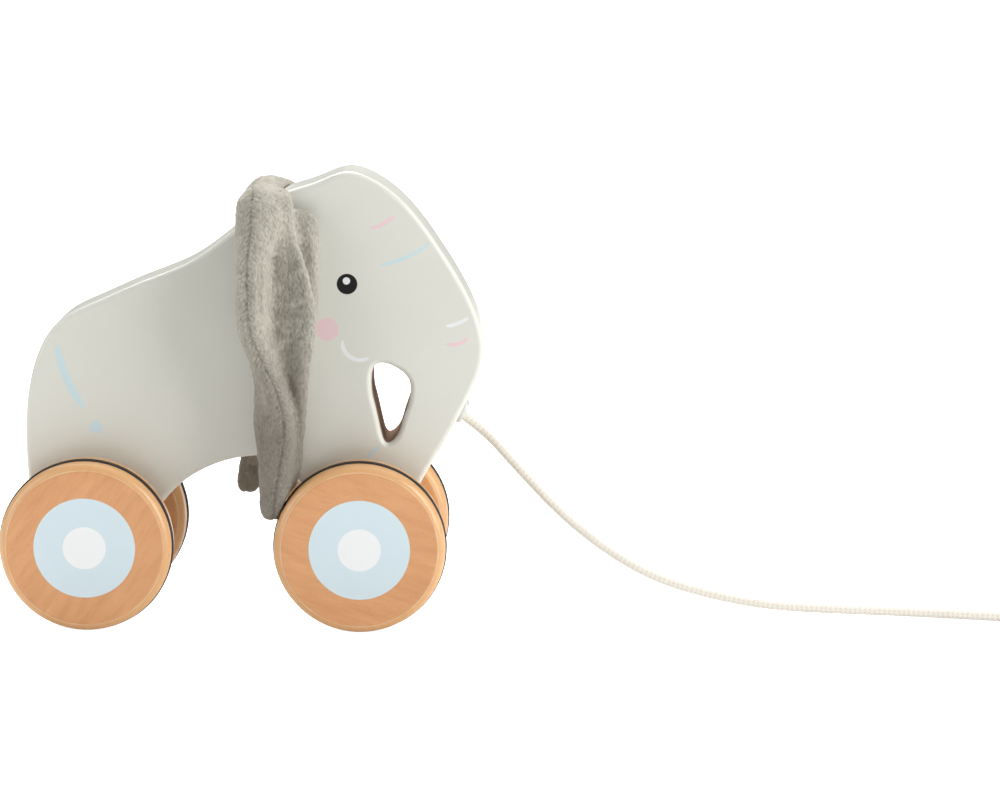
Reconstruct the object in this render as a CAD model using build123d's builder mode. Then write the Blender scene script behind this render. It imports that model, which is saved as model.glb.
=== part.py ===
from build123d import *
import os
from math import cos, pi, radians, sin, tan

os.makedirs("parts", exist_ok=True)

# An elephant pull toy: a thick wooden board on four wheels, with plush ears and a pull cord.
# Millimetres. +X is the way the toy faces, +Y its left side, +Z up, and the floor is Z = 0.

# Driving dimensions
board_thickness = 26.0
edge_round = 1.8
tyre_radius = 30.3
wheel_radius = 29.9
wheel_width = 15.0
wheel_edge_round = 3.4
wheel_gap = 3.5
wheelbase = 95.4
rear_axle_x = -53.8
axle_z = tyre_radius
axle_diameter = 8.0
axle_fit = 0.06
tyre_groove_width = 3.2
tyre_groove_depth = 1.6
tyre_from_face = 6.0
cord_diameter = 2.8
cord_bore = 3.1
plug_head_diameter = 9.0
plug_head_height = 2.3
plug_shank_diameter = 6.0
plug_angle = -26.8
coil_turn_radius = 15.0
coil_centre = (295.0, 10.0)
ear_thickness = 9.0
soft_clearance = 0.35

half_board = board_thickness / 2
front_axle_x = rear_axle_x + wheelbase
wheel_inner_y = half_board + wheel_gap
wheel_outer_y = wheel_inner_y + wheel_width
axle_bore_depth = 11.0


# The board: its silhouette, read clockwise from the left side, as points (x, z)
rump = [(-75.9, 52.0), (-76.4, 67.0), (-75.2, 82.0), (-71.0, 97.0), (-64.5, 106.6)]
back = [(-52.7, 113.2), (-35.0, 121.1), (-17.0, 128.9), (-5.9, 137.0), (4.0, 144.8)]
head = [(14.4, 152.4), (25.5, 156.2), (36.5, 160.0), (46.0, 157.2), (57.6, 148.1)]
trunk = [(68.2, 134.3), (77.4, 119.4), (83.0, 106.0), (83.9, 94.5), (78.8, 80.6), (71.6, 66.6)]
front_foot = [(62.4, 50.5), (56.5, 34.0), (51.0, 18.5), (41.0, 13.8), (30.5, 18.5), (25.0, 34.0)]
belly = [(19.2, 50.5), (10.5, 58.6), (-1.4, 58.9), (-15.5, 53.9), (-26.5, 45.2)]
rear_foot = [(-34.5, 31.0), (-42.0, 17.5), (-55.0, 13.8), (-67.5, 18.0), (-74.0, 33.0)]
board_outline = rump + back + head + trunk + front_foot + belly + rear_foot

# The hole behind the trunk that two fingers go through
hand_hole_outline = [
    (45.0, 88.0), (47.9, 92.9), (53.5, 91.4), (58.0, 87.2), (58.3, 80.2),
    (56.0, 72.8), (53.2, 66.2), (50.6, 64.6), (48.3, 69.0), (46.2, 78.2),
]

# The cord leaves square to the trunk's front edge
plug_seat = Vector(75.7, 0, 74.5)
plug_direction = Vector(cos(radians(plug_angle)), 0, sin(radians(plug_angle)))
plug_plane = Plane(origin=plug_seat, x_dir=(0, 1, 0), z_dir=plug_direction)
cavity_depth = 17.0
shank_length = 9.0

# Two tacks hold the ear band to the top of the neck
tack_radius = 0.8
tack_length = 12.0
tack_direction = Vector(-0.62, 0, 0.785)
tack_seats = [Vector(3.4, 0, 144.3), Vector(10.6, 0, 149.8)]
tack_planes = [
    Plane(origin=seat - tack_direction * 9, x_dir=(0, 1, 0), z_dir=tack_direction)
    for seat in tack_seats
]

with BuildPart() as body_board:
    with BuildSketch(Plane.XZ) as board_face:
        with BuildLine():
            Spline(*board_outline, periodic=True)
        make_face()
        with BuildLine():
            Spline(*hand_hole_outline, periodic=True)
        make_face(mode=Mode.SUBTRACT)
    extrude(amount=half_board, both=True)
    side_faces = body_board.faces().filter_by(Axis.Y)
    fillet(side_faces.edges(), radius=edge_round)
    with BuildSketch(Plane.XZ) as axle_bores:
        with Locations((rear_axle_x, axle_z), (front_axle_x, axle_z)):
            Circle(axle_diameter / 2 + axle_fit)
    extrude(amount=board_thickness, both=True, mode=Mode.SUBTRACT)
    with BuildSketch(plug_plane.offset(-cavity_depth)) as cord_bore_sketch:
        Circle(plug_shank_diameter / 2)
    extrude(amount=cavity_depth + 5, mode=Mode.SUBTRACT)
    with BuildSketch(plug_plane.offset(-0.6)) as plug_seat_sketch:
        Circle(plug_head_diameter / 2 + 0.2)
    extrude(amount=5, mode=Mode.SUBTRACT)
    with BuildSketch(*tack_planes) as tack_bores:
        Circle(tack_radius)
    extrude(amount=tack_length, mode=Mode.SUBTRACT)
body_board.part.label = "body_board"
export_step(body_board.part, "parts/body_board.step")


# Two dowel axles, each carrying two wheels and two washers
def make_axle(name, x):
    end_y = wheel_inner_y + axle_bore_depth - 0.3
    with BuildPart() as axle:
        with BuildSketch(Plane.XZ):
            with Locations((x, axle_z)):
                Circle(axle_diameter / 2)
        extrude(amount=end_y, both=True)
        chamfer(axle.edges().filter_by(GeomType.CIRCLE), length=0.6)
    axle.part.label = name
    export_step(axle.part, f"parts/{name}.step")


# A turned wheel: rounded rim edges, a groove for the tyre and a blind bore on its inner side
def make_wheel(name, x, side):
    face_plane = Plane(origin=(x, side * wheel_outer_y, axle_z), x_dir=(1, 0, 0), z_dir=(0, -side, 0))
    groove_plane = face_plane.offset(tyre_from_face - tyre_groove_width / 2)
    with BuildPart() as wheel:
        with BuildSketch(face_plane):
            Circle(wheel_radius)
        extrude(amount=wheel_width)
        fillet(wheel.edges().filter_by(GeomType.CIRCLE), radius=wheel_edge_round)
        with BuildSketch(groove_plane):
            Circle(wheel_radius + 1)
            Circle(wheel_radius - tyre_groove_depth, mode=Mode.SUBTRACT)
        extrude(amount=tyre_groove_width, mode=Mode.SUBTRACT)
        with BuildSketch(face_plane.offset(wheel_width - axle_bore_depth)):
            Circle(axle_diameter / 2)
        extrude(amount=axle_bore_depth, mode=Mode.SUBTRACT)
    wheel.part.label = name
    export_step(wheel.part, f"parts/{name}.step")


# A rubber ring that fills the groove and stands half a millimetre proud of the wood
def make_tyre(name, x, side):
    face_plane = Plane(origin=(x, side * wheel_outer_y, axle_z), x_dir=(1, 0, 0), z_dir=(0, -side, 0))
    with BuildPart() as tyre:
        with BuildSketch(face_plane.offset(tyre_from_face - tyre_groove_width / 2)):
            Circle(tyre_radius)
            Circle(wheel_radius - tyre_groove_depth, mode=Mode.SUBTRACT)
        extrude(amount=tyre_groove_width)
        crest = tyre.edges().filter_by(GeomType.CIRCLE).sort_by(SortBy.RADIUS)[-2:]
        fillet(crest, radius=0.45)
    tyre.part.label = name
    export_step(tyre.part, f"parts/{name}.step")


# A plain washer that keeps the wheel off the board
def make_washer(name, x, side):
    with BuildPart() as washer:
        inner_face = Plane(origin=(x, side * wheel_inner_y, axle_z), x_dir=(1, 0, 0), z_dir=(0, -side, 0))
        with BuildSketch(inner_face):
            Circle(axle_diameter)
            Circle(axle_diameter / 2, mode=Mode.SUBTRACT)
        extrude(amount=wheel_gap - soft_clearance)
        chamfer(washer.edges().filter_by(GeomType.CIRCLE).sort_by(SortBy.RADIUS)[-2:], length=0.4)
    washer.part.label = name
    export_step(washer.part, f"parts/{name}.step")


for end, axle_x in (("rear", rear_axle_x), ("front", front_axle_x)):
    make_axle(f"{end}_axle", axle_x)
    for side_name, side in (("right", -1), ("left", 1)):
        make_wheel(f"{end}_{side_name}_wheel", axle_x, side)
        make_tyre(f"{end}_{side_name}_tyre", axle_x, side)
        make_washer(f"{end}_{side_name}_washer", axle_x, side)


# The cord's plug: a round button with a hollow shank that is pressed into the trunk
with BuildPart() as cord_plug:
    with BuildSketch(plug_plane.offset(-shank_length)):
        Circle(plug_shank_diameter / 2)
    extrude(amount=shank_length)
    with BuildSketch(plug_plane.offset(-0.6)):
        Circle(plug_head_diameter / 2)
    extrude(amount=plug_head_height + 0.6)
    rim = cord_plug.edges().filter_by(GeomType.CIRCLE).sort_by_distance(plug_seat + plug_direction * 9)[0]
    fillet(rim, radius=1.2)
    with BuildSketch(plug_plane.offset(-shank_length)):
        Circle(cord_bore / 2)
    extrude(amount=shank_length + 5, mode=Mode.SUBTRACT)
cord_plug.part.label = "cord_plug"
export_step(cord_plug.part, "parts/cord_plug.step")

# The knot behind the plug that holds the cord in the trunk
inner_knot_radius = 2.8
inner_knot_centre = plug_seat - plug_direction * (shank_length + 0.4 + inner_knot_radius)
with BuildPart() as cord_inner_knot:
    with Locations(inner_knot_centre):
        Sphere(inner_knot_radius)
cord_inner_knot.part.label = "cord_inner_knot"
export_step(cord_inner_knot.part, "parts/cord_inner_knot.step")


# The cord's route: out of the trunk, down in a sagging curve, and along the floor
cord_start = plug_seat - plug_direction * (shank_length + 0.4)
cord_route = [
    (cord_start.X, 0.0, cord_start.Z), (82.6, 0.0, 71.0), (97.0, 0.3, 53.6),
    (111.5, -0.2, 38.2), (128.0, 0.2, 24.9), (146.0, -0.3, 14.3),
    (166.0, 0.2, 7.3), (188.0, -0.2, 3.4), (214.0, 0.4, 2.2),
    (242.0, -0.6, 1.55), (266.0, -4.2, 1.5), (287.0, -6.4, 1.45),
]


def tube_along(route):
    """A round cord: straight runs joined by tangent arcs as large as the runs allow."""
    points = [Vector(*point) for point in route]
    radii = []
    length = 0.0
    for before, here, after in zip(points, points[1:], points[2:]):
        turn = radians((here - before).get_angle(after - here))
        shorter = min((here - before).length, (after - here).length)
        radii.append(0.45 * shorter / tan(turn / 2))
    with BuildPart() as tube:
        with BuildLine() as path:
            FilletPolyline(*points, radius=radii)
        with BuildSketch(Plane(origin=path.wire() @ 0, z_dir=path.wire() % 0)):
            Circle(cord_diameter / 2)
        sweep()
        length = path.wire().length
    expected = pi * (cord_diameter / 2) ** 2 * length
    print("cord radii", [round(radius, 1) for radius in radii])
    print("cord length", round(length, 1), "volume", round(tube.part.volume, 1), "of", round(expected, 1))
    return tube.part


pull_cord = tube_along(cord_route)
pull_cord.label = "pull_cord"
export_step(pull_cord, "parts/pull_cord.step")

# The spare cord: a neat coil of four turns, two beside each other and two above them
with BuildPart() as cord_coil:
    with BuildSketch(Plane.XY.offset(0.05)):
        with Locations(coil_centre):
            Circle(coil_turn_radius + cord_diameter)
            Circle(coil_turn_radius - cord_diameter, mode=Mode.SUBTRACT)
    extrude(amount=2 * cord_diameter)
    fillet(cord_coil.edges().filter_by(GeomType.CIRCLE), radius=1.2)
cord_coil.part.label = "cord_coil"
export_step(cord_coil.part, "parts/cord_coil.step")

# The cord's tail leaves the top turn and ends in a knot beside the coil
tail_route = [(310.6, 17.0, 4.2), (309.2, 22.4, 3.9), (304.8, 27.6, 3.3), (299.6, 31.0, 3.0)]
cord_tail = tube_along(tail_route)
cord_tail.label = "cord_tail"
export_step(cord_tail, "parts/cord_tail.step")

end_knot_radius = 3.2
end_knot_centre = (296.6, 32.6, end_knot_radius + 0.05)
with BuildPart() as cord_end_knot:
    with Locations(end_knot_centre):
        Sphere(end_knot_radius)
cord_end_knot.part.label = "cord_end_knot"
export_step(cord_end_knot.part, "parts/cord_end_knot.step")


# The ears hang from a padded fabric band that lies over the neck between the back and the head
band_profile = [(-2.2, 141.0), (-0.6, 147.0), (4.2, 155.0), (9.5, 156.4), (14.5, 154.6), (17.6, 151.6)]
with BuildPart() as ear_band:
    with BuildSketch(Plane.XZ):
        with BuildLine():
            Spline(*band_profile)
            Polyline(band_profile[-1], (17.0, 146.0), (0.5, 134.0), band_profile[0])
        make_face()
        with BuildLine():
            Spline(*board_outline, periodic=True)
        make_face(mode=Mode.SUBTRACT)
    extrude(amount=half_board + soft_clearance, both=True)
    band_ends = ear_band.faces().filter_by(Axis.Y)
    fillet(band_ends.edges().group_by(Axis.Z)[-1], radius=2.5)
    with BuildSketch(*tack_planes):
        Circle(tack_radius)
    extrude(amount=tack_length, mode=Mode.SUBTRACT)
ear_band.part.label = "ear_band"
export_step(ear_band.part, "parts/ear_band.step")

with BuildPart() as ear_tacks:
    with BuildSketch(*tack_planes):
        Circle(tack_radius)
    extrude(amount=tack_length)
ear_tacks.part.label = "ear_tacks"
export_step(ear_tacks.part, "parts/ear_tacks.step")

# Each ear: a soft curved slab that leaves the board's side and sweeps back and out to a round rim
ear_outline = [
    (8.0, 150.6), (1.5, 147.5), (-1.0, 138.0), (-0.8, 118.0), (2.2, 101.0), (5.6, 88.0),
    (5.0, 76.0), (5.5, 60.0), (7.4, 46.5), (10.4, 41.2), (13.0, 44.0), (17.6, 51.2),
    (20.6, 58.5), (22.0, 70.0), (23.6, 90.0), (26.6, 112.0), (27.6, 130.0), (26.4, 142.0),
    (21.0, 148.4), (15.0, 150.6),
]
ear_plan = [(25.5, 19.2), (19.0, 21.0), (10.0, 28.0), (4.6, 34.0)]


def make_ear(name, side, lean):
    """lean is how far back the ear's tip hangs, in millimetres."""
    top_z = ear_outline[0][1]
    outline = [(x - lean * ((top_z - z) / 100) ** 2, z) for x, z in ear_outline]
    with BuildPart() as ear:
        with BuildSketch(Plane.XY.offset(38)):
            with BuildLine() as middle_line:
                Spline(*[(x, side * y) for x, y in ear_plan])
            trace(line_width=ear_thickness)
        extrude(amount=118)
        with BuildSketch(Plane.XZ.offset(-side * 30)):
            with BuildLine():
                Spline(*outline, periodic=True)
            make_face()
        extrude(amount=30, both=True, mode=Mode.INTERSECT)
    ear.part.label = name
    export_step(ear.part, f"parts/{name}.step")


make_ear("ear_right", -1, 0)
make_ear("ear_left", 1, 10)
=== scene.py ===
import bpy
import bmesh
import math
from mathutils import Matrix, Vector, noise
from mathutils.bvhtree import BVHTree
from mathutils.kdtree import KDTree


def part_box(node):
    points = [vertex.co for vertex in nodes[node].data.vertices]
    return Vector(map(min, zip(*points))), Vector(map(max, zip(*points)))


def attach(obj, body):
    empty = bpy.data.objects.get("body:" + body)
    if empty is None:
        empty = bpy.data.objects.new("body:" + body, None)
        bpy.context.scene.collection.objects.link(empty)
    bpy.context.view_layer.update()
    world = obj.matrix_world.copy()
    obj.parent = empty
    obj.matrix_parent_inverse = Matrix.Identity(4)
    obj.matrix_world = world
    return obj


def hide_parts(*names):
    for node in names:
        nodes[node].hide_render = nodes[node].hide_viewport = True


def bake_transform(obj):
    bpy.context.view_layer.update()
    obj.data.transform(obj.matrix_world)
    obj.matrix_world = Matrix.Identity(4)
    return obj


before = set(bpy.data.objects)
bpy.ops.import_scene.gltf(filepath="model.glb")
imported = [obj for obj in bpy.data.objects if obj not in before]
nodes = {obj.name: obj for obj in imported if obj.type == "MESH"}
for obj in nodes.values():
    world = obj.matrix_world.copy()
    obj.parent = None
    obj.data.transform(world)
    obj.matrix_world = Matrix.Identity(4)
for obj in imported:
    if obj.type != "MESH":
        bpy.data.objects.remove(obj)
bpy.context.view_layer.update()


# ---------------------------------------------------------------- studio
# The camera stands about a metre off the toy's right side, a little above it, with a long lens.
# It is level apart from a slight roll, and looks down by about ten degrees.
camera_place = Vector((0.0900, -1.0260, 0.2643))
camera_pitch = math.radians(10.29)
camera_roll = math.radians(0.46)
camera_data = bpy.data.cameras.new("studio_camera")
camera_data.sensor_width = 36
camera_data.lens = 105.9
camera_data.clip_start = 0.05
camera_data.clip_end = 30
camera = bpy.data.objects.new("studio_camera", camera_data)
camera.matrix_world = (
    Matrix.Translation(camera_place)
    @ Matrix.Rotation(math.pi / 2 - camera_pitch, 4, "X")
    @ Matrix.Rotation(camera_roll, 4, "Z")
)
bpy.context.scene.collection.objects.link(camera)
bpy.context.scene.camera = camera
bpy.context.scene.view_settings.view_transform = "Standard"


def softbox(name, place, aim, width, height, power):
    """A rectangular studio light that faces the point aim."""
    light = bpy.data.lights.new(name, "AREA")
    light.shape = "RECTANGLE"
    light.size = width
    light.size_y = height
    light.energy = power
    lamp = bpy.data.objects.new(name, light)
    lamp.location = place
    lamp.rotation_euler = (Vector(aim) - Vector(place)).to_track_quat("-Z", "Y").to_euler()
    bpy.context.scene.collection.objects.link(lamp)


softbox("right_softbox", (1.0, -0.45, 0.5), (0.03, 0.0, 0.08), 0.7, 0.9, 10.7)
softbox("left_softbox", (-1.0, -0.45, 0.5), (0.03, 0.0, 0.08), 0.7, 0.9, 5.6)
softbox("overhead_softbox", (0.1, 0.35, 1.1), (0.03, 0.0, 0.05), 1.3, 1.1, 9.5)
softbox("back_softbox", (-0.2, 0.8, 0.95), (0.03, 0.0, 0.1), 0.9, 0.7, 8.0)

world = bpy.data.worlds.new("studio")
world.use_nodes = True
world.node_tree.nodes["Background"].inputs["Color"].default_value = (1, 1, 1, 1)
world.node_tree.nodes["Background"].inputs["Strength"].default_value = 0.10
bpy.context.scene.world = world


# ---------------------------------------------------------------- floor
# A seamless sheet of white paper lies under the toy and runs back until it fades into the background.
# It is studio equipment, not a part of the toy.
floor_mesh = bpy.data.meshes.new("studio_floor")
floor_build = bmesh.new()
bmesh.ops.create_grid(floor_build, x_segments=2, y_segments=2, size=8)
floor_build.to_mesh(floor_mesh)
floor_build.free()
floor = bpy.data.objects.new("studio_floor", floor_mesh)
bpy.context.scene.collection.objects.link(floor)

paper = bpy.data.materials.new("white_paper")
paper.use_nodes = True
paper_shader = paper.node_tree.nodes["Principled BSDF"]
paper_shader.inputs["Base Color"].default_value = (0.93, 0.93, 0.93, 1)
paper_shader.inputs["Roughness"].default_value = 0.9
paper_shader.inputs["Specular IOR Level"].default_value = 0.1
paper_shader.inputs["Emission Color"].default_value = (1, 1, 1, 1)
# The paper looks evenly white to the camera, but throws back only the light that falls on it
seen = paper.node_tree.nodes.new("ShaderNodeLightPath")
whiten = paper.node_tree.nodes.new("ShaderNodeMath")
whiten.operation = "MULTIPLY"
whiten.inputs[1].default_value = 0.95
paper.node_tree.links.new(seen.outputs["Is Camera Ray"], whiten.inputs[0])
paper.node_tree.links.new(whiten.outputs[0], paper_shader.inputs["Emission Strength"])
floor_mesh.materials.append(paper)


# ---------------------------------------------------------------- painted board
# The body is one thick board, routed round its edge and sprayed with a satin grey lacquer.
# The eye, cheek, smile and pastel brush marks are printed on both faces.
MM = 0.001


def new_material(name, **sockets):
    """A Principled material whose named sockets are set to plain values."""
    material = bpy.data.materials.new(name)
    material.use_nodes = True
    shader = material.node_tree.nodes["Principled BSDF"]
    for socket, value in sockets.items():
        shader.inputs[socket.replace("_", " ")].default_value = value
    return material, material.node_tree, shader


def add(tree, kind, **settings):
    """A node with its properties set, and its inputs by position from `feeds`."""
    feeds = settings.pop("feeds", {})
    node = tree.nodes.new(kind)
    for key, value in settings.items():
        setattr(node, key, value)
    for socket, value in feeds.items():
        if isinstance(value, bpy.types.NodeSocket):
            tree.links.new(value, node.inputs[socket])
        else:
            node.inputs[socket].default_value = value
    return node


def math_node(tree, operation, a, b=0.0, c=0.0, clamp=False):
    """One sum on up to three values."""
    feeds = {0: a, 1: b, 2: c}
    return add(tree, "ShaderNodeMath", operation=operation, use_clamp=clamp, feeds=feeds).outputs[0]


def vector_node(tree, operation, a, b=(0, 0, 0), output=0):
    """One sum on two vectors; a length or a dot product comes out at output 1."""
    return add(tree, "ShaderNodeVectorMath", operation=operation, feeds={0: a, 1: b}).outputs[output]


def mix_colour(tree, factor, a, b):
    """Colour a where the factor is 0, turning into colour b where it is 1."""
    return add(tree, "ShaderNodeMix", data_type="RGBA", feeds={0: factor, 6: a, 7: b}).outputs[2]


def speckle(tree, place, scale, detail, **more):
    """Cloudy variation from 0 to 1 through the material."""
    feeds = {"Vector": place, "Scale": scale, "Detail": detail, **more}
    return add(tree, "ShaderNodeTexNoise", feeds=feeds).outputs["Fac"]


def stretch(tree, value, low, high, start, end):
    """Runs from start to end as the value goes from low to high, and stays level outside them."""
    return add(tree, "ShaderNodeMapRange", feeds={0: value, 1: low, 2: high, 3: start, 4: end}).outputs[0]


def relief(tree, shader, height, strength, depth):
    """Fine relief in the finish: height is from 0 to 1, and depth is in metres."""
    bump = add(tree, "ShaderNodeBump", feeds={"Strength": strength, "Distance": depth, "Height": height})
    tree.links.new(bump.outputs["Normal"], shader.inputs["Normal"])


def group_tree(name, inputs, outputs):
    """A node group: inputs and outputs are lists of (name, socket kind, value)."""
    tree = bpy.data.node_groups.new(name, "ShaderNodeTree")
    for label, kind, value in inputs:
        socket = tree.interface.new_socket(name=label, in_out="INPUT", socket_type="NodeSocket" + kind)
        if value is not None:
            socket.default_value = value
    for label, kind in outputs:
        tree.interface.new_socket(name=label, in_out="OUTPUT", socket_type="NodeSocket" + kind)
    source = tree.nodes.new("NodeGroupInput")
    sink = tree.nodes.new("NodeGroupOutput")
    return tree, source, sink


def place_group(tree, group, **feeds):
    """A use of a node group, with its inputs given by name."""
    node = tree.nodes.new("ShaderNodeGroup")
    node.node_tree = group
    for label, value in feeds.items():
        socket = node.inputs[label.replace("_", " ")]
        if isinstance(value, bpy.types.NodeSocket):
            tree.links.new(value, socket)
        else:
            socket.default_value = value
    return node


def srgb(red, green, blue):
    """Linear colour from the 0 to 255 values that a paint card gives."""
    linear = [
        (c / 255 / 12.92) if c / 255 <= 0.04045 else ((c / 255 + 0.055) / 1.055) ** 2.4
        for c in (red, green, blue)
    ]
    return (*linear, 1)


board_colour = srgb(229, 229, 219)
# How sharply the print turns on at the edge of a stroke and of a dot, per metre
stroke_edge = 6000.0
dot_edge = 8000.0

mark_tree, mark_in, mark_out = group_tree(
    "brush_arc",
    [
        ("Place", "Vector", None), ("Centre", "Vector", (0, 0, 0)), ("Radius", "Float", 0.01),
        ("Half Width", "Float", 0.001), ("Middle", "Vector", (1, 0, 0)), ("Half Angle", "Float", 0.5),
    ],
    [("Mask", "Float")],
)
arm = vector_node(mark_tree, "SUBTRACT", mark_in.outputs["Place"], mark_in.outputs["Centre"])
arm = vector_node(mark_tree, "MULTIPLY", arm, (1, 0, 1))
reach = vector_node(mark_tree, "LENGTH", arm, output=1)
facing = vector_node(mark_tree, "NORMALIZE", arm)
cosine = vector_node(mark_tree, "DOT_PRODUCT", facing, mark_in.outputs["Middle"], output=1)
swing = math_node(mark_tree, "ARCCOSINE", cosine)
share = math_node(mark_tree, "DIVIDE", swing, mark_in.outputs["Half Angle"])
taper = math_node(mark_tree, "POWER", share, 5.0)
taper = math_node(mark_tree, "SUBTRACT", 1.0, taper, clamp=True)
taper = math_node(mark_tree, "SQRT", taper)
half_width = math_node(mark_tree, "MULTIPLY", taper, mark_in.outputs["Half Width"])
off_line = math_node(mark_tree, "SUBTRACT", reach, mark_in.outputs["Radius"])
off_line = math_node(mark_tree, "ABSOLUTE", off_line)
inside = math_node(mark_tree, "SUBTRACT", half_width, off_line)
mask = math_node(mark_tree, "MULTIPLY", inside, stroke_edge, clamp=True)
mark_tree.links.new(mask, mark_out.inputs["Mask"])

dot_tree, dot_in, dot_out = group_tree(
    "printed_dot",
    [("Place", "Vector", None), ("Centre", "Vector", (0, 0, 0)), ("Radius", "Float", 0.003)],
    [("Mask", "Float")],
)
arm = vector_node(dot_tree, "SUBTRACT", dot_in.outputs["Place"], dot_in.outputs["Centre"])
arm = vector_node(dot_tree, "MULTIPLY", arm, (1, 0, 1))
reach = vector_node(dot_tree, "LENGTH", arm, output=1)
inside = math_node(dot_tree, "SUBTRACT", dot_in.outputs["Radius"], reach)
mask = math_node(dot_tree, "MULTIPLY", inside, dot_edge, clamp=True)
dot_tree.links.new(mask, dot_out.inputs["Mask"])


def arc_through(start, middle, end):
    """Centre, radius, middle direction and half angle of the arc through three (x, z) points in mm."""
    (ax, az), (bx, bz), (cx, cz) = start, middle, end
    d = 2 * (ax * (bz - cz) + bx * (cz - az) + cx * (az - bz))
    a2, b2, c2 = ax * ax + az * az, bx * bx + bz * bz, cx * cx + cz * cz
    centre = Vector((
        (a2 * (bz - cz) + b2 * (cz - az) + c2 * (az - bz)) / d, 0,
        (a2 * (cx - bx) + b2 * (ax - cx) + c2 * (bx - ax)) / d,
    ))
    towards = (Vector((bx, 0, bz)) - centre).normalized()
    edge = (Vector((ax, 0, az)) - centre).normalized()
    half_angle = math.acos(max(-1, min(1, towards.dot(edge))))
    return centre * MM, (Vector((bx, 0, bz)) - centre).length * MM, towards, half_angle


pale_blue = srgb(211, 231, 235)
pale_pink = srgb(242, 213, 216)
chalk_white = srgb(244, 246, 246)
eye_black = srgb(2, 2, 2)
# colour, half width in mm, and three points along the stroke as (x, z) in mm
brush_strokes = [
    (pale_blue, 1.45, (-64.8, 98.6), (-61.6, 87.0), (-55.0, 75.6)),
    (pale_pink, 0.75, (44.6, 140.5), (49.3, 142.1), (53.6, 145.3)),
    (pale_blue, 0.75, (48.0, 127.6), (57.2, 130.5), (64.0, 134.6)),
    (chalk_white, 0.7, (70.9, 106.3), (75.1, 107.4), (79.0, 109.6)),
    (pale_pink, 0.75, (71.0, 100.2), (75.0, 100.1), (79.0, 102.6)),
    (pale_blue, 0.7, (43.6, 59.0), (45.4, 61.6), (49.2, 63.5)),
    (chalk_white, 0.8, (35.0, 101.3), (37.6, 95.2), (43.6, 94.7)),
]
printed_dots = [
    (pale_blue, (-51.6, 69.6), 2.3),
    (pale_pink, (29.5, 104.9), 4.1),
    (eye_black, (36.5, 120.9), 3.65),
    (chalk_white, (36.3, 122.0), 1.35),
]

# A sprayed finish: faint orange peel, cloudy tone and a trace of brush grain from the wood
spray_tree, spray_in, spray_out = group_tree(
    "sprayed_film",
    [
        ("Place", "Vector", None), ("Colour", "Color", None),
        ("Clouding", "Float", 0.05), ("Peel", "Float", 0.1),
    ],
    [("Colour", "Color"), ("Roughness", "Float"), ("Height", "Float")],
)
spray_place = spray_in.outputs["Place"]
cloud_shift = math_node(spray_tree, "SUBTRACT", speckle(spray_tree, spray_place, 28.0, 3.0), 0.5)
cloud_shift = math_node(spray_tree, "MULTIPLY", cloud_shift, spray_in.outputs["Clouding"])
cloud_value = math_node(spray_tree, "ADD", cloud_shift, 1.0)
toned = add(
    spray_tree, "ShaderNodeVectorMath", operation="SCALE",
    feeds={0: spray_in.outputs["Colour"], "Scale": cloud_value},
)
spray_tree.links.new(toned.outputs[0], spray_out.inputs["Colour"])
peel = speckle(spray_tree, spray_place, 900.0, 2.0)
fine = speckle(spray_tree, spray_place, 160.0, 4.0)
rough = math_node(spray_tree, "MULTIPLY", fine, 0.12)
rough = math_node(spray_tree, "ADD", rough, 0.25)
spray_tree.links.new(rough, spray_out.inputs["Roughness"])
height = math_node(spray_tree, "MULTIPLY", peel, spray_in.outputs["Peel"])
height = math_node(spray_tree, "MULTIPLY_ADD", fine, 0.4, height)
spray_tree.links.new(height, spray_out.inputs["Height"])

lacquer, tree, shader = new_material(
    "grey_lacquer", Specular_IOR_Level=0.4, Coat_Weight=0.2, Coat_Roughness=0.10,
)
place = add(tree, "ShaderNodeTexCoord").outputs["Object"]
film = place_group(tree, spray_tree, Place=place, Colour=board_colour, Clouding=0.05, Peel=0.5)
colour = film.outputs["Colour"]
for tint, half, start, middle, end in brush_strokes:
    centre, radius, towards, half_angle = arc_through(start, middle, end)
    stroke = place_group(
        tree, mark_tree, Place=place, Centre=centre, Radius=radius,
        Half_Width=half * MM, Middle=towards, Half_Angle=half_angle,
    )
    colour = mix_colour(tree, stroke.outputs["Mask"], colour, tint)
matt_ink = 0.0
for tint, (x, z), radius in printed_dots:
    dot = place_group(tree, dot_tree, Place=place, Centre=(x * MM, 0, z * MM), Radius=radius * MM)
    colour = mix_colour(tree, dot.outputs["Mask"], colour, tint)
    if tint == eye_black:
        matt_ink = dot.outputs["Mask"]
# The wall of the hand hole is left as bare wood, dark between its two painted rims
hole_middle = (51.5 * MM, 0, 78.5 * MM)
hole_reach = 17.0 * MM
paint_ends = 11.6 * MM
wood_starts = 11.0 * MM
from_hole = vector_node(tree, "SUBTRACT", place, hole_middle)
from_hole = vector_node(tree, "MULTIPLY", from_hole, (1, 0, 1))
from_hole = vector_node(tree, "LENGTH", from_hole, output=1)
near_hole = math_node(tree, "LESS_THAN", from_hole, hole_reach)
depth = add(tree, "ShaderNodeSeparateXYZ", feeds={0: place}).outputs[1]
depth = math_node(tree, "ABSOLUTE", depth)
bare = stretch(tree, depth, paint_ends, wood_starts, 0.0, 1.0)
bare = math_node(tree, "MULTIPLY", bare, near_hole)
wall = mix_colour(tree, speckle(tree, place, 500.0, 3.0), srgb(146, 120, 102), srgb(178, 150, 130))
colour = mix_colour(tree, bare, colour, wall)
tree.links.new(colour, shader.inputs["Base Color"])
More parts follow.
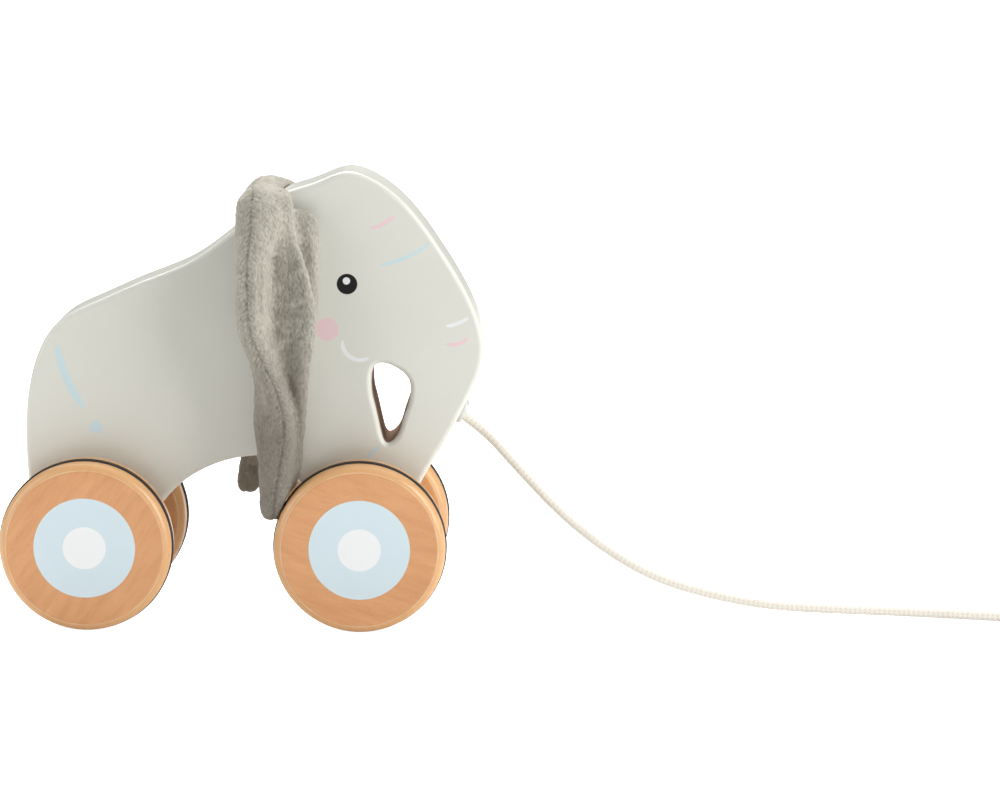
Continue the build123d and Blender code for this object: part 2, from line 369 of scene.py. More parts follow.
# The eye's ink and the bare wood have no gloss coat over them
uncoated = math_node(tree, "MAXIMUM", matt_ink, bare)
coat = math_node(tree, "MULTIPLY_ADD", uncoated, -0.2, 0.2)
tree.links.new(coat, shader.inputs["Coat Weight"])
dull = math_node(tree, "MAXIMUM", film.outputs["Roughness"], bare)
tree.links.new(dull, shader.inputs["Roughness"])
relief(tree, shader, film.outputs["Height"], 0.12, 0.3 * MM)


def finish_node(name, material):
    """Gives a hard part its one material."""
    mesh = nodes[name].data
    mesh.materials.clear()
    mesh.materials.append(material)


finish_node("body_board", lacquer)


# ---------------------------------------------------------------- wheels
# Each wheel is turned from beech and varnished, with rounded rims and a rim groove for a rubber ring.
# The outer face carries a printed pale blue disc with a white centre.
wood_tree, wood_in, wood_out = group_tree(
    "straight_grain",
    [
        ("Place", "Vector", None),
        ("Light Wood", "Color", srgb(239, 179, 124)), ("Dark Wood", "Color", srgb(219, 155, 102)),
        ("Grain Scale", "Float", 60.0), ("Fleck", "Float", 0.3),
    ],
    [("Colour", "Color"), ("Height", "Float")],
)
wood_place = wood_in.outputs["Place"]
drawn_out = vector_node(wood_tree, "MULTIPLY", wood_place, (1.0, 1.0, 5.0))
wander = speckle(wood_tree, drawn_out, wood_in.outputs["Grain Scale"], 6.0, Roughness=0.55)
lines_at = vector_node(wood_tree, "MULTIPLY", wood_place, (90.0, 90.0, 1500.0))
lines = speckle(wood_tree, lines_at, 1.0, 3.0, Distortion=0.3)
flecks_at = vector_node(wood_tree, "MULTIPLY", wood_place, (700.0, 700.0, 2600.0))
flecks = stretch(wood_tree, speckle(wood_tree, flecks_at, 1.0, 2.0), 0.60, 0.70, 0.0, 1.0)
tone = stretch(wood_tree, wander, 0.3, 0.7, 0.0, 0.7)
tone = math_node(wood_tree, "MULTIPLY_ADD", lines, 0.5, tone)
base = mix_colour(wood_tree, tone, wood_in.outputs["Light Wood"], wood_in.outputs["Dark Wood"])
fleck_share = math_node(wood_tree, "MULTIPLY", flecks, wood_in.outputs["Fleck"])
base = mix_colour(wood_tree, fleck_share, base, srgb(196, 134, 86))
wood_tree.links.new(base, wood_out.inputs["Colour"])
wood_height = math_node(wood_tree, "MULTIPLY_ADD", flecks, -0.5, wander)
wood_tree.links.new(wood_height, wood_out.inputs["Height"])

wheel_blue = srgb(219, 237, 244)
wheel_white = srgb(250, 253, 253)
blue_radius = 17.66
white_radius = 7.55
# At this radius the flat face turns into the rim, where a thin painted highlight ring lies
highlight_ring_radius = 27.4
disc_edge = 9000.0
# The print is only on the outer face, which lies further from the toy's middle than this
print_from_middle = 31.2 * MM


def wheel_material(name, axle_x, axle_z, grain_turn):
    """Varnished beech with its printed disc, for one wheel: the grain runs its own way on each."""
    material, tree, shader = new_material(
        name, Specular_IOR_Level=0.5, Coat_Weight=0.35, Coat_Roughness=0.10,
    )
    place = add(tree, "ShaderNodeTexCoord").outputs["Object"]
    centred = vector_node(tree, "SUBTRACT", place, (axle_x, 0, axle_z))
    turned = add(
        tree, "ShaderNodeVectorRotate", rotation_type="Y_AXIS",
        feeds={"Vector": centred, "Angle": grain_turn},
    )
    grain = place_group(tree, wood_tree, Place=turned.outputs[0], Fleck=0.35)
    across = vector_node(tree, "MULTIPLY", centred, (1, 0, 1))
    reach = vector_node(tree, "LENGTH", across, output=1)
    side = add(tree, "ShaderNodeSeparateXYZ", feeds={0: centred}).outputs[1]
    side = math_node(tree, "ABSOLUTE", side)
    outer_face = math_node(tree, "GREATER_THAN", side, print_from_middle)
    colour = grain.outputs["Colour"]
    # The turned rim is coloured paler beyond the flat of the face: partly its paler side grain, partly
    # painted light on the outward-facing round
    rim_grain_and_light = stretch(tree, reach, (highlight_ring_radius - 0.4) * MM, (highlight_ring_radius + 0.5) * MM, 0.0, 0.6)
    colour = mix_colour(tree, rim_grain_and_light, colour, srgb(234, 188, 132))
    # A thin pale ring where the face turns into the rim is a painted highlight, broken into patches
    painted_highlight = math_node(tree, "SUBTRACT", reach, highlight_ring_radius * MM)
    painted_highlight = math_node(tree, "ABSOLUTE", painted_highlight)
    painted_highlight = stretch(tree, painted_highlight, 0.32 * MM, 0.08 * MM, 0.0, 0.9)
    patches = stretch(tree, speckle(tree, place, 130.0, 4.0), 0.35, 0.65, 0.25, 1.0)
    painted_highlight = math_node(tree, "MULTIPLY", painted_highlight, patches)
    colour = mix_colour(tree, painted_highlight, colour, srgb(244, 210, 168))
    printed = 0.0
    for radius, tint in ((blue_radius, wheel_blue), (white_radius, wheel_white)):
        inside = math_node(tree, "SUBTRACT", radius * MM, reach)
        disc = math_node(tree, "MULTIPLY", inside, disc_edge, clamp=True)
        disc = math_node(tree, "MULTIPLY", disc, outer_face)
        colour = mix_colour(tree, disc, colour, tint)
        if radius == blue_radius:
            printed = disc
    tree.links.new(colour, shader.inputs["Base Color"])
    rough = stretch(tree, grain.outputs["Height"], 0.2, 0.8, 0.30, 0.42)
    tree.links.new(rough, shader.inputs["Roughness"])
    unprinted = math_node(tree, "SUBTRACT", 1.0, printed)
    height = math_node(tree, "MULTIPLY", grain.outputs["Height"], unprinted)
    relief(tree, shader, height, 0.15, 0.4 * MM)
    return material


# The tyres are moulded rubber rings, matt and a little dusty
rubber, tree, shader = new_material("black_rubber", Roughness=0.6, Specular_IOR_Level=0.35)
place = add(tree, "ShaderNodeTexCoord").outputs["Object"]
dusty = mix_colour(tree, speckle(tree, place, 240.0, 4.0), srgb(34, 30, 28), srgb(52, 47, 43))
tree.links.new(dusty, shader.inputs["Base Color"])
relief(tree, shader, speckle(tree, place, 2500.0, 2.0), 0.2, 0.2 * MM)

# The axles and washers are sanded beech without varnish
dowel, tree, shader = new_material("sanded_dowel", Roughness=0.55, Specular_IOR_Level=0.35)
place = add(tree, "ShaderNodeTexCoord").outputs["Object"]
along = add(
    tree, "ShaderNodeVectorRotate", rotation_type="X_AXIS",
    feeds={"Vector": place, "Angle": math.pi / 2},
)
grain = place_group(
    tree, wood_tree, Place=along.outputs[0],
    Light_Wood=srgb(232, 202, 164), Dark_Wood=srgb(208, 170, 126), Grain_Scale=160.0, Fleck=0.2,
)
tree.links.new(grain.outputs["Colour"], shader.inputs["Base Color"])
relief(tree, shader, grain.outputs["Height"], 0.3, 0.3 * MM)

grain_turns = {"rear_right": 0.95, "rear_left": 1.9, "front_right": 2.85, "front_left": 0.9}
for corner, turn in grain_turns.items():
    low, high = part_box(f"{corner}_wheel")
    middle = (low + high) / 2
    finish_node(f"{corner}_wheel", wheel_material(f"varnished_beech_{corner}", middle.x, middle.z, turn))
    finish_node(f"{corner}_tyre", rubber)
    finish_node(f"{corner}_washer", dowel)
finish_node("rear_axle", dowel)
finish_node("front_axle", dowel)


# ---------------------------------------------------------------- pull cord
# A cream braided cotton cord, knotted behind a round plug in the trunk's front edge.
# It sags to the floor and runs forward, and its spare length is wound in a small coil with a knotted end.
cord_diameter = 0.0033
cord_route = [
    (0.0673, 0.0, 0.0787), (0.0826, 0.0, 0.0694), (0.0970, 0.0003, 0.0531),
    (0.1115, -0.0002, 0.0376), (0.1280, 0.0002, 0.0240), (0.1460, -0.0003, 0.0136),
    (0.1660, 0.0002, 0.0075), (0.1880, -0.0002, 0.0036), (0.2140, 0.0004, 0.0024),
    (0.2420, -0.0006, 0.0018), (0.2660, -0.0047, 0.00175), (0.2870, -0.0074, 0.0017),
]
tail_route = [
    (0.3113, 0.0172, 0.0049), (0.3095, 0.0228, 0.0044),
    (0.3048, 0.0276, 0.0036), (0.2996, 0.0310, 0.0032),
]
coil_centre = Vector((0.2950, 0.0100, 0.0))
points_per_turn = 16
# Radius and height of each turn: two turns beside each other on the floor, and two above them
coil_turns = [(0.0175, 0.0017), (0.0142, 0.0017), (0.0142, 0.0049), (0.0175, 0.0049)]
last_turn = 3.25
# A turn climbs to the next one over its last quarter
climb_from = 0.75

route = [Vector(point) for point in cord_route]
for step in range(1, int(last_turn * points_per_turn) + 1):
    turn = step / points_per_turn
    level = int(turn)
    crossing = max(0.0, (turn - level - climb_from) / (1 - climb_from))
    here, above = coil_turns[level], coil_turns[min(level + 1, 3)]
    radius = here[0] + (above[0] - here[0]) * crossing
    height = here[1] + (above[1] - here[1]) * crossing
    angle = 2 * math.pi * (turn - 0.25)
    route.append(coil_centre + Vector((radius * math.cos(angle), radius * math.sin(angle), height)))
route += [Vector(point) for point in tail_route]


def line_along(points):
    """Points of the smooth line that a cord laid along these points takes."""
    curve = bpy.data.curves.new("cord_line", "CURVE")
    curve.dimensions = "3D"
    curve.resolution_u = 24
    spline = curve.splines.new("NURBS")
    spline.points.add(len(points) - 1)
    for point, place in zip(spline.points, points):
        point.co = (*place, 1)
    spline.order_u = 3
    spline.use_endpoint_u = True
    holder = bpy.data.objects.new("cord_line", curve)
    bpy.context.scene.collection.objects.link(holder)
    bpy.context.view_layer.update()
    mesh = bpy.data.meshes.new_from_object(holder.evaluated_get(bpy.context.evaluated_depsgraph_get()))
    line = [vertex.co.copy() for vertex in mesh.vertices]
    bpy.data.objects.remove(holder)
    bpy.data.meshes.remove(mesh)
    return line


def evenly(line, spacing):
    """The same line with its points at an even spacing."""
    placed = [line[0]]
    carried = 0.0
    for start, end in zip(line, line[1:]):
        step = (end - start).length
        while step > 0 and carried + step >= spacing:
            part = (spacing - carried) / step
            start = start.lerp(end, part)
            placed.append(start)
            step = (end - start).length
            carried = 0.0
        carried += step
    return placed


def frames_along(line):
    """For each point, two directions square to the line that turn as little as possible."""
    frames = []
    sideways = Vector((0, 1, 0))
    for index, point in enumerate(line):
        ahead = (line[min(index + 1, len(line) - 1)] - line[max(index - 1, 0)]).normalized()
        sideways = (sideways - ahead * sideways.dot(ahead)).normalized()
        frames.append((sideways.copy(), ahead.cross(sideways)))
    return frames


def piece_from(name, build, material, body=None):
    """A smooth-shaded object from a bmesh, with its material, riding on a body."""
    mesh = bpy.data.meshes.new(name)
    build.to_mesh(mesh)
    build.free()
    for polygon in mesh.polygons:
        polygon.use_smooth = True
    mesh.materials.append(material)
    piece = bpy.data.objects.new(name, mesh)
    bpy.context.scene.collection.objects.link(piece)
    if body:
        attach(piece, body)
    return piece


def braid_along(build, line, radius, sides=24, pitch=0.0070, swelling=0.00012):
    """Lays a round braid along the line: a closed tube whose skin shows the crossing plaits."""
    frames = frames_along(line)
    plait_layer = build.verts.layers.float.new("plait")
    run = 0.0
    rings = []
    for index, (point, (side, up)) in enumerate(zip(line, frames)):
        run += (point - line[index - 1]).length if index else 0.0
        end_gap = min(index, len(line) - 1 - index)
        full = radius * (0.5, 0.85, 1.0)[min(end_gap, 2)]
        ring = []
        for corner in range(sides):
            around = 2 * math.pi * corner / sides
            climb = 2 * math.pi * run / pitch
            plait = math.cos(4 * around + 2 * climb) * math.cos(4 * around - 2 * climb)
            out = full - swelling + swelling * plait
            skin = build.verts.new(point + (side * math.cos(around) + up * math.sin(around)) * out)
            skin[plait_layer] = 0.5 + 0.5 * plait
            ring.append(skin)
        rings.append(ring)
    for one, two in zip(rings, rings[1:]):
        for corner in range(sides):
            after = (corner + 1) % sides
            build.faces.new((one[corner], one[after], two[after], two[corner]))
    build.faces.new(reversed(rings[0]))
    build.faces.new(rings[-1])


cotton, tree, shader = new_material(
    "cream_cotton", Roughness=0.85, Specular_IOR_Level=0.2, Sheen_Weight=0.25, Sheen_Roughness=0.5,
)
place = add(tree, "ShaderNodeTexCoord").outputs["Object"]
yarn = speckle(tree, place, 1400.0, 3.0)
cream = mix_colour(tree, yarn, srgb(224, 218, 205), srgb(246, 242, 232))
soiling = math_node(tree, "MULTIPLY", speckle(tree, place, 90.0, 2.0), 0.2)
cream = mix_colour(tree, soiling, cream, srgb(218, 209, 192))
# The hollows between the plaits are coloured darker: painted shade where the plaits cross
plait = add(tree, "ShaderNodeAttribute", attribute_name="plait").outputs["Fac"]
painted_hollow_shade = stretch(tree, plait, 0.45, 0.05, 0.0, 0.55)
cream = mix_colour(tree, painted_hollow_shade, cream, srgb(190, 180, 162))
tree.links.new(cream, shader.inputs["Base Color"])
relief(tree, shader, yarn, 0.6, 0.2 * MM)

ring_spacing = 0.00045
cord_line = line_along(route)
build = bmesh.new()
braid_along(build, evenly(cord_line, ring_spacing), cord_diameter / 2)
pull_cord = piece_from("cotton_pull_cord", build, cotton, "toy_body")
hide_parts("pull_cord", "cord_coil", "cord_tail")

# The end is tied in an overhand knot, pulled tight enough to thin the cord
knot_size = 0.00155
knotted_radius = 0.00125
knot_steps = 60
# How far the loops reach out beyond the ring that they run round
loop_reach = 1.55
knot_low, knot_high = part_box("cord_end_knot")
knot_centre = (knot_low + knot_high) / 2
knot_loop = []
for step in range(knot_steps - 4):
    t = 0.35 + 2 * math.pi * step / knot_steps
    knot_loop.append(knot_centre + Vector((
        (math.sin(t) + loop_reach * math.sin(2 * t)) * knot_size,
        (math.cos(t) - loop_reach * math.cos(2 * t)) * knot_size,
        -math.sin(3 * t) * knot_size * 0.85,
    )))
build = bmesh.new()
braid_along(build, evenly(line_along(knot_loop), ring_spacing), knotted_radius)
end_knot = piece_from("overhand_knot", build, cotton, "toy_body")
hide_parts("cord_end_knot")
finish_node("cord_inner_knot", cotton)

# The plug is a moulded button with a soft gloss
button, tree, shader = new_material("button_plastic", Specular_IOR_Level=0.5, Coat_Weight=0.1)
place = add(tree, "ShaderNodeTexCoord").outputs["Object"]
film = place_group(tree, spray_tree, Place=place, Colour=srgb(214, 213, 208), Clouding=0.04, Peel=0.6)
tree.links.new(film.outputs["Colour"], shader.inputs["Base Color"])
tree.links.new(film.outputs["Roughness"], shader.inputs["Roughness"])
finish_node("cord_plug", button)


# ---------------------------------------------------------------- ears
# Long floppy ears of short-pile grey plush, sewn inside out round the rim and lightly stuffed.
# They meet in a band over the neck, which two tacks hold down, and hang folded along their length.
shoulder_y = 9.8
shoulder_z = 145.0
# Each level of the ear is a soft roll: how far the level is turned up over the neck in degrees, its y
# and z, and then five places across the cloth, each with x, distance from the shoulder line and radius
ear_levels = [
    (90, -1.4, shoulder_z,
     (9.4, 6.4, 2.6), (8.2, 5.8, 3.6), (7.2, 4.8, 4.4), (5.2, 3.9, 5.0), (2.4, 0.2, 3.8)),
    (90, 5.0, shoulder_z,
     (10.0, 6.6, 2.7), (8.6, 6.0, 3.7), (7.3, 5.1, 4.5), (5.2, 4.3, 5.1), (2.5, 0.6, 3.9)),
    (78, shoulder_y, shoulder_z,
     (12.6, 7.2, 2.7), (10.1, 6.7, 3.8), (7.8, 5.9, 4.6), (5.4, 5.2, 5.2), (2.7, 1.6, 4.2)),
    (52, shoulder_y, shoulder_z,
     (14.6, 8.6, 2.7), (11.9, 8.4, 3.7), (9.0, 8.2, 4.5), (6.4, 8.0, 5.3), (3.4, 4.8, 4.6)),
    (24, shoulder_y, shoulder_z,
     (15.6, 10.4, 2.5), (13.3, 11.0, 3.3), (10.8, 12.0, 4.0), (7.0, 12.8, 5.5), (3.9, 10.4, 5.0)),
    (0, shoulder_y, 141.0,
     (16.7, 12.2, 2.2), (14.8, 12.6, 2.6), (11.8, 14.2, 3.2), (6.8, 17.8, 5.5), (3.9, 15.8, 5.2)),
    (0, shoulder_y, 130.0,
     (20.8, 14.2, 2.0), (15.4, 13.2, 1.9), (9.6, 13.6, 2.0), (5.5, 21.8, 5.4), (4.4, 19.6, 5.1)),
    (0, shoulder_y, 115.0,
     (24.4, 16.2, 2.0), (16.6, 14.0, 1.9), (9.4, 13.8, 2.0), (5.1, 22.2, 5.1), (4.2, 20.0, 5.0)),
    (0, shoulder_y, 107.0,
     (24.6, 16.8, 2.1), (16.8, 14.4, 1.9), (10.0, 14.0, 2.2), (5.5, 21.3, 4.5), (4.5, 19.2, 4.5)),
    (0, shoulder_y, 99.0,
     (23.4, 17.2, 2.2), (17.4, 14.3, 1.9), (12.0, 14.6, 2.6), (7.2, 19.8, 3.6), (5.8, 18.0, 3.6)),
    (0, shoulder_y, 90.0,
     (21.8, 17.4, 2.4), (17.6, 15.2, 2.0), (14.2, 15.2, 2.6), (11.2, 20.8, 3.2), (8.3, 16.8, 3.5)),
    (0, shoulder_y, 80.0,
     (20.8, 16.6, 2.4), (18.4, 15.2, 2.2), (16.6, 16.2, 2.5), (14.6, 21.8, 2.9), (8.8, 16.8, 3.6)),
    (0, shoulder_y, 70.0,
     (20.2, 15.2, 2.4), (18.6, 14.4, 2.5), (17.2, 16.2, 2.7), (15.3, 21.4, 3.0), (9.0, 17.0, 3.8)),
    (0, shoulder_y, 58.0,
     (18.6, 12.8, 2.6), (17.2, 13.4, 3.0), (16.2, 15.4, 3.2), (14.0, 19.6, 3.8), (10.0, 16.4, 3.8)),
    (0, shoulder_y, 50.0,
     (15.8, 12.0, 2.8), (15.0, 13.2, 3.2), (14.0, 14.8, 3.5), (12.6, 17.4, 4.3), (10.6, 15.2, 4.2)),
    (0, shoulder_y, 44.6,
     (12.8, 12.2, 2.9), (12.6, 13.0, 3.2), (12.4, 14.4, 3.6), (11.8, 16.6, 4.2), (11.0, 15.0, 4.3)),
    (0, shoulder_y, 40.8,
     (12.2, 12.6, 2.3), (12.1, 13.2, 2.6), (12.0, 14.2, 3.0), (11.6, 15.8, 3.4), (11.0, 14.8, 3.5)),
    (0, shoulder_y, 38.9,
     (12.0, 13.2, 1.2), (12.0, 13.6, 1.4), (11.9, 14.2, 1.6), (11.7, 15.2, 1.8), (11.4, 14.6, 1.8)),
]
# The front fold lies flat on the board's side behind the rest of the ear
fold_levels = [
    (0, shoulder_y, 147.2,
     (22.0, 7.0, 1.0), (20.0, 7.0, 1.2), (18.0, 7.2, 1.4), (16.0, 7.6, 1.6), (14.5, 8.0, 1.6)),
    (0, shoulder_y, 144.2,
     (23.4, 6.6, 2.6), (20.5, 6.8, 2.8), (18.0, 7.0, 2.9), (15.5, 7.6, 2.9), (13.0, 8.6, 2.8)),
    (0, shoulder_y, 139.0,
     (24.0, 6.6, 3.0), (21.0, 6.7, 3.0), (18.0, 6.9, 3.0), (15.0, 7.6, 3.0), (12.0, 9.0, 3.0)),
    (0, shoulder_y, 128.0,
     (24.0, 6.6, 3.0), (21.0, 6.7, 3.0), (18.0, 6.9, 3.0), (15.0, 7.8, 3.0), (11.5, 9.6, 3.2)),
    (0, shoulder_y, 113.0,
     (23.6, 6.6, 3.0), (20.6, 6.8, 3.0), (17.6, 7.2, 3.0), (14.5, 8.4, 3.2), (11.0, 10.4, 3.4)),
    (0, shoulder_y, 98.0,
     (21.9, 6.8, 3.0), (19.4, 7.2, 3.2), (16.6, 8.0, 3.3), (14.0, 9.2, 3.3), (11.5, 10.8, 3.4)),
    (0, shoulder_y, 84.0,
     (19.9, 7.0, 3.1), (17.8, 7.6, 3.4), (15.6, 8.6, 3.6), (13.6, 9.6, 3.6), (11.4, 10.8, 3.6)),
    (0, shoulder_y, 68.0,
     (17.4, 7.1, 3.0), (15.8, 7.8, 3.4), (14.2, 8.8, 3.6), (12.8, 9.6, 3.6), (11.2, 10.4, 3.6)),
    (0, shoulder_y, 55.0,
     (14.6, 7.2, 2.4), (13.6, 7.5, 2.5), (12.6, 8.0, 2.6), (11.8, 8.8, 2.7), (11.0, 9.6, 2.7)),
    (0, shoulder_y, 50.5,
     (13.4, 7.6, 0.9), (12.9, 7.8, 1.0), (12.4, 8.2, 1.1), (11.9, 8.8, 1.2), (11.4, 9.4, 1.2)),
]
# Where the rim seam runs on each level's fourth place: degrees round it from straight outward
seam_turns = [-28, -28, -28, -28, -26, -24, -22, -18, -12, -2, 8, 10, 8, -2, -4, 0, 0, 0]
cloth_steps = 32
rim_steps = 10
rings_per_level = 10


def smooth_between(values, t):
    """Catmull-Rom between rows of numbers; t counts rows."""
    i = min(int(t), len(values) - 2)
    f = t - i
    rows = [values[max(i - 1, 0)], values[i], values[i + 1], values[min(i + 2, len(values) - 1)]]
    return [
        0.5 * (
            2 * b + (c - a) * f + (2 * a - 5 * b + 4 * c - d) * f * f
            + (3 * b - a - 3 * c + d) * f ** 3
        )
        for a, b, c, d in zip(*rows)
    ]


def level_place(level, x, reach):
    """The point of a level that is `reach` from the shoulder line, for the right ear, in mm."""
    turn, y, z = math.radians(level[0]), level[1], level[2]
    return Vector((x, -y - reach * math.cos(turn), z + reach * math.sin(turn)))


def level_outline(level):
    """The closed outline of one level: the soft roll that its five places lay out."""
    places = [level[3 + 3 * k:6 + 3 * k] for k in range(5)]
    line = [smooth_between(places, 4 * step / cloth_steps) for step in range(cloth_steps + 1)]
    sides = []
    for index, (x, reach, radius) in enumerate(line):
        before, after = line[max(index - 1, 0)], line[min(index + 1, cloth_steps)]
        ahead = Vector((after[0] - before[0], after[1] - before[1])).normalized()
        sides.append((Vector((x, reach)), ahead, Vector((-ahead.y, ahead.x)), radius))
    half_turn = [math.pi * k / rim_steps for k in range(1, rim_steps)]
    outline = [middle + across * radius for middle, _, across, radius in sides]
    middle, ahead, across, radius = sides[-1]
    outline += [middle + (across * math.cos(a) + ahead * math.sin(a)) * radius for a in half_turn]
    outline += [middle - across * radius for middle, _, across, radius in reversed(sides)]
    middle, ahead, across, radius = sides[0]
    outline += [middle - (across * math.cos(a) + ahead * math.sin(a)) * radius for a in half_turn]
    return [level_place(level, point.x, point.y) for point in outline]


def flat_rows(levels):
    """Each level as one plain row of numbers."""
    return [[*level[:3], *[value for place in level[3:] for value in place]] for level in levels]


def skin_levels(build, levels, settle):
    """Adds the closed skin through the levels; settle moves each point to its ear's own hang."""
    rows = flat_rows(levels)
    steps = (len(rows) - 1) * rings_per_level
    rings = []
    for step in range(steps + 1):
        row = smooth_between(rows, (len(rows) - 1) * step / steps)
        rings.append([build.verts.new(settle(point)) for point in level_outline(row)])
    for one, two in zip(rings, rings[1:]):
        count = len(one)
        for corner in range(count):
            after = (corner + 1) % count
            build.faces.new((one[corner], one[after], two[after], two[corner]))
    build.faces.new(reversed(rings[0]))
    build.faces.new(rings[-1])


def surface_of(name):
    """A CAD node's surface, to keep the cloth clear of it."""
    build = bmesh.new()
    build.from_mesh(nodes[name].data)
    tree = BVHTree.FromBMesh(build)
    build.free()
    return tree


# How deep a point of the cloth may start inside a hard part, in metres
deepest_overlap = 0.012


def keep_off(point, surface, gap):
    """Moves a point that is inside the surface, or nearer than the gap, out to the gap."""
    hit, normal, _, distance = surface.find_nearest(point, deepest_overlap)
    if hit is None:
        return point
    away = point - hit
    if away.dot(normal) < 0:
        return hit + normal * gap
    if distance >= gap or distance < 1e-7:
        return point
    return hit + away * (gap / distance)


# The ears hang from this height for this length, in mm
hang_top = 148.0
hang_length = 108.0


def lean_back(lean, length):
    """How an ear hangs: its tip leans back, and the whole of it is a little longer or shorter."""
    def settle(point):
        drop = max(0.0, hang_top - point.z) / hang_length
        z = hang_top - (hang_top - point.z) * length if point.z < hang_top else point.z
        return Vector((point.x - lean * drop ** 1.5, point.y, z)) * MM
    return settle


board_surface = surface_of("body_board")
nap_seed = {"right": Vector((0.0, 0.0, 0.0)), "left": Vector((3.7, 1.9, 5.3))}
strand_shift = Vector((7.1, 3.3, 1.7))
# The clear space to the board and to the front wheel, and how far the seam's pull is felt, in metres
board_gap = 0.0003
wheel_gap = 0.0009
seam_reach = 0.006
# The seam's line is found by looking in at the rim from this far outside it, in mm
look_from = 14
seam_steps_per_level = 16
# How far each kind of unevenness lifts the skin, and the length of a seam stitch, in mm
wrinkle_lift = 0.55
dimple_lift = 0.30
tuft_lift = 0.16
strand_lift = 0.16
stitch_length = 1.7


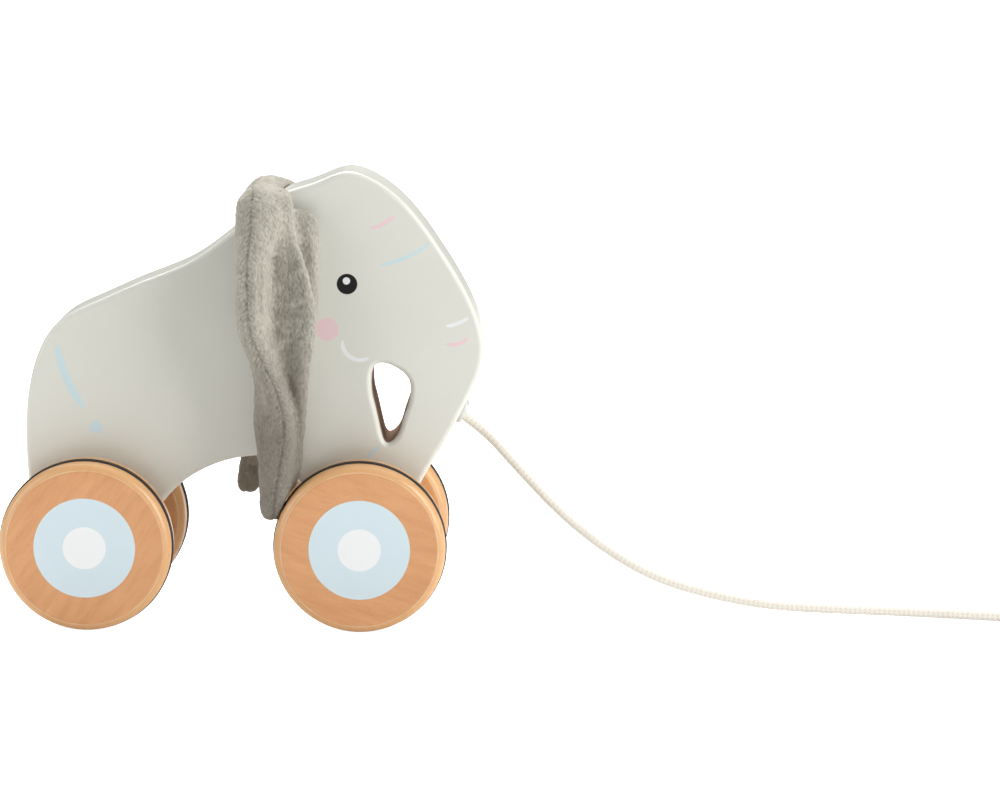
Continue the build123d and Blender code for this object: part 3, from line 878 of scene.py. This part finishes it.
def sew_ear(side, lean, length):
    """One plush ear with its half of the band."""
    settle = lean_back(lean, length)
    build = bmesh.new()
    skin_levels(build, ear_levels, settle)
    skin_levels(build, fold_levels, settle)
    bmesh.ops.recalc_face_normals(build, faces=build.faces)
    rough_mesh = bpy.data.meshes.new("ear_rough")
    build.to_mesh(rough_mesh)
    build.free()
    rough = bpy.data.objects.new("ear_rough", rough_mesh)
    bpy.context.scene.collection.objects.link(rough)
    remesh = rough.modifiers.new("even_skin", "REMESH")
    remesh.mode = "VOXEL"
    remesh.voxel_size = 0.0008
    relax = rough.modifiers.new("relax", "SMOOTH")
    relax.factor = 0.5
    relax.iterations = 4
    finer = rough.modifiers.new("finer", "SUBSURF")
    finer.levels = 1
    bpy.context.view_layer.update()
    mesh = bpy.data.meshes.new_from_object(rough.evaluated_get(bpy.context.evaluated_depsgraph_get()))
    bpy.data.objects.remove(rough)
    bpy.data.meshes.remove(rough_mesh)
    mesh.name = f"ear_plush_{side}"

    # The seam's line over the skin
    skin = BVHTree.FromPolygons([v.co for v in mesh.vertices], [p.vertices for p in mesh.polygons])
    rows = flat_rows(ear_levels)
    seam = []
    seam_steps = seam_steps_per_level * (len(rows) - 1)
    for step in range(seam_steps + 1):
        t = (len(rows) - 1) * step / seam_steps
        row = smooth_between(rows, t)
        turn = math.radians(smooth_between([[a] for a in seam_turns], t)[0])
        x, reach = row[12:14]
        inner = settle(level_place(row, x, reach))
        outside = (x + look_from * math.sin(turn), reach + look_from * math.cos(turn))
        outer = settle(level_place(row, *outside))
        hit = skin.ray_cast(outer, (inner - outer).normalized())[0]
        if hit is not None:
            seam.append(hit)
    runs = [0.0]
    for before, after in zip(seam, seam[1:]):
        runs.append(runs[-1] + (after - before).length)
    seam_tree = KDTree(len(seam))
    for index, point in enumerate(seam):
        seam_tree.insert(point, index)
    seam_tree.balance()

    wheel_surfaces = [surface_of(f"front_{side}_{part}") for part in ("tyre", "wheel")]
    mirror = Vector((1, 1 if side == "right" else -1, 1))
    # This attribute carries the pile's own tone and painted shade to the material
    pile_and_shade = mesh.attributes.new("pile_and_shade", "FLOAT", "POINT")
    normals = [vertex.normal.copy() for vertex in mesh.vertices]
    for vertex, normal in zip(mesh.vertices, normals):
        point = vertex.co.copy()
        in_mm = point * 1000 + nap_seed[side] * 10
        # Broad wrinkles run down the ear, and the pile stands in small tufts
        wrinkle = noise.noise(Vector((in_mm.x / 5.0, in_mm.y / 6.0, in_mm.z / 16.0)))
        dimple = noise.noise(in_mm / 3.4)
        tufts = noise.noise(Vector((in_mm.x / 0.75, in_mm.y / 0.75, in_mm.z / 1.5)))
        finer_at = Vector((in_mm.x / 0.42, in_mm.y / 0.42, in_mm.z / 0.9)) + strand_shift
        strands = noise.noise(finer_at)
        rise = wrinkle_lift * wrinkle + dimple_lift * dimple + tuft_lift * tufts + strand_lift * strands
        # shade follows the skin's relief: lighter on raised tufts, strands and dimples, darker in their
        # hollows and in the seam's groove and pull. It is partly the pile's own tone and partly painted
        # shade, strongest in the seam's groove
        shade = 0.45 * tufts + 0.45 * strands + 0.25 * dimple
        near, index, distance = seam_tree.find(point)
        if distance < seam_reach:
            ahead = (seam[min(index + 2, len(seam) - 1)] - seam[max(index - 2, 0)]).normalized()
            offset = point - near
            along = (runs[index] + offset.dot(ahead)) * 1000
            off = math.sqrt(max(0.0, offset.length_squared - offset.dot(ahead) ** 2)) * 1000
            groove = math.exp(-((off / 0.5) ** 2)) * (0.6 + 0.8 * abs(noise.noise(in_mm / 1.1)))
            sway = 1.1 * noise.noise(in_mm / 2.3)
            stitch = math.cos(2 * math.pi * (along - 0.8 * off + sway) / stitch_length)
            chevron = stitch * math.exp(-((off - 1.2) / 1.3) ** 2)
            pull = math.exp(-((off / 2.6) ** 2))
            rise += -0.45 * groove + 0.13 * chevron - 0.30 * pull
            shade += -0.45 * groove + 0.20 * chevron - 0.10 * pull
        moved = point + normal * rise * MM
        moved = Vector((moved.x, moved.y * mirror.y, moved.z))
        moved = keep_off(moved, board_surface, board_gap)
        for surface in wheel_surfaces:
            moved = keep_off(moved, surface, wheel_gap)
        vertex.co = moved
        pile_and_shade.data[vertex.index].value = shade
    if side == "left":
        mesh.flip_normals()
    for polygon in mesh.polygons:
        polygon.use_smooth = True
    mesh.materials.append(plush)
    ear = bpy.data.objects.new(mesh.name, mesh)
    bpy.context.scene.collection.objects.link(ear)
    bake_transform(ear)
    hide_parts(f"ear_{side}")
    return ear


plush, tree, shader = new_material(
    "grey_plush", Roughness=0.9, Specular_IOR_Level=0.15, Sheen_Weight=0.35, Sheen_Roughness=0.45,
)
shader.inputs["Sheen Tint"].default_value = srgb(232, 226, 214)
place = add(tree, "ShaderNodeTexCoord").outputs["Object"]
# The attribute holds the pile's own tone together with painted shade from the skin's relief and the
# seam's groove
pile_and_shade = add(tree, "ShaderNodeAttribute", attribute_name="pile_and_shade").outputs["Fac"]
pile_at = vector_node(tree, "MULTIPLY", place, (1500.0, 1500.0, 650.0))
pile = speckle(tree, pile_at, 1.0, 2.0)
mottle = speckle(tree, place, 110.0, 3.0)
pile_tone_and_shade = math_node(tree, "MULTIPLY_ADD", pile_and_shade, 0.55, 0.34)
pile_tone_and_shade = math_node(tree, "MULTIPLY_ADD", pile, 0.55, pile_tone_and_shade)
pile_tone_and_shade = math_node(tree, "SUBTRACT", pile_tone_and_shade, 0.10, clamp=True)
plush_colour = mix_colour(tree, pile_tone_and_shade, srgb(127, 122, 111), srgb(219, 216, 203))
warm = math_node(tree, "MULTIPLY", mottle, 0.35)
plush_colour = mix_colour(tree, warm, plush_colour, srgb(150, 142, 129))
# The ear is coloured darker and browner towards its lower tip
height_up = add(tree, "ShaderNodeSeparateXYZ", feeds={0: place}).outputs[2]
darker_towards_tip = stretch(tree, height_up, 0.108, 0.070, 0.0, 0.60)
plush_colour = mix_colour(tree, darker_towards_tip, plush_colour, srgb(101, 92, 83))
tree.links.new(plush_colour, shader.inputs["Base Color"])
relief(tree, shader, pile, 0.5, 0.4 * MM)

# Two round-headed steel tacks hold the band down
steel, tree, shader = new_material("tack_steel", Metallic=1.0, Roughness=0.35)
place = add(tree, "ShaderNodeTexCoord").outputs["Object"]
tarnish = speckle(tree, place, 700.0, 3.0)
steel_colour = mix_colour(tree, tarnish, srgb(150, 148, 144), srgb(192, 190, 186))
tree.links.new(steel_colour, shader.inputs["Base Color"])

right_ear = sew_ear("right", 0.0, 1.0)
sew_ear("left", 13.0, 1.005)
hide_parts("ear_band")
finish_node("ear_tacks", steel)
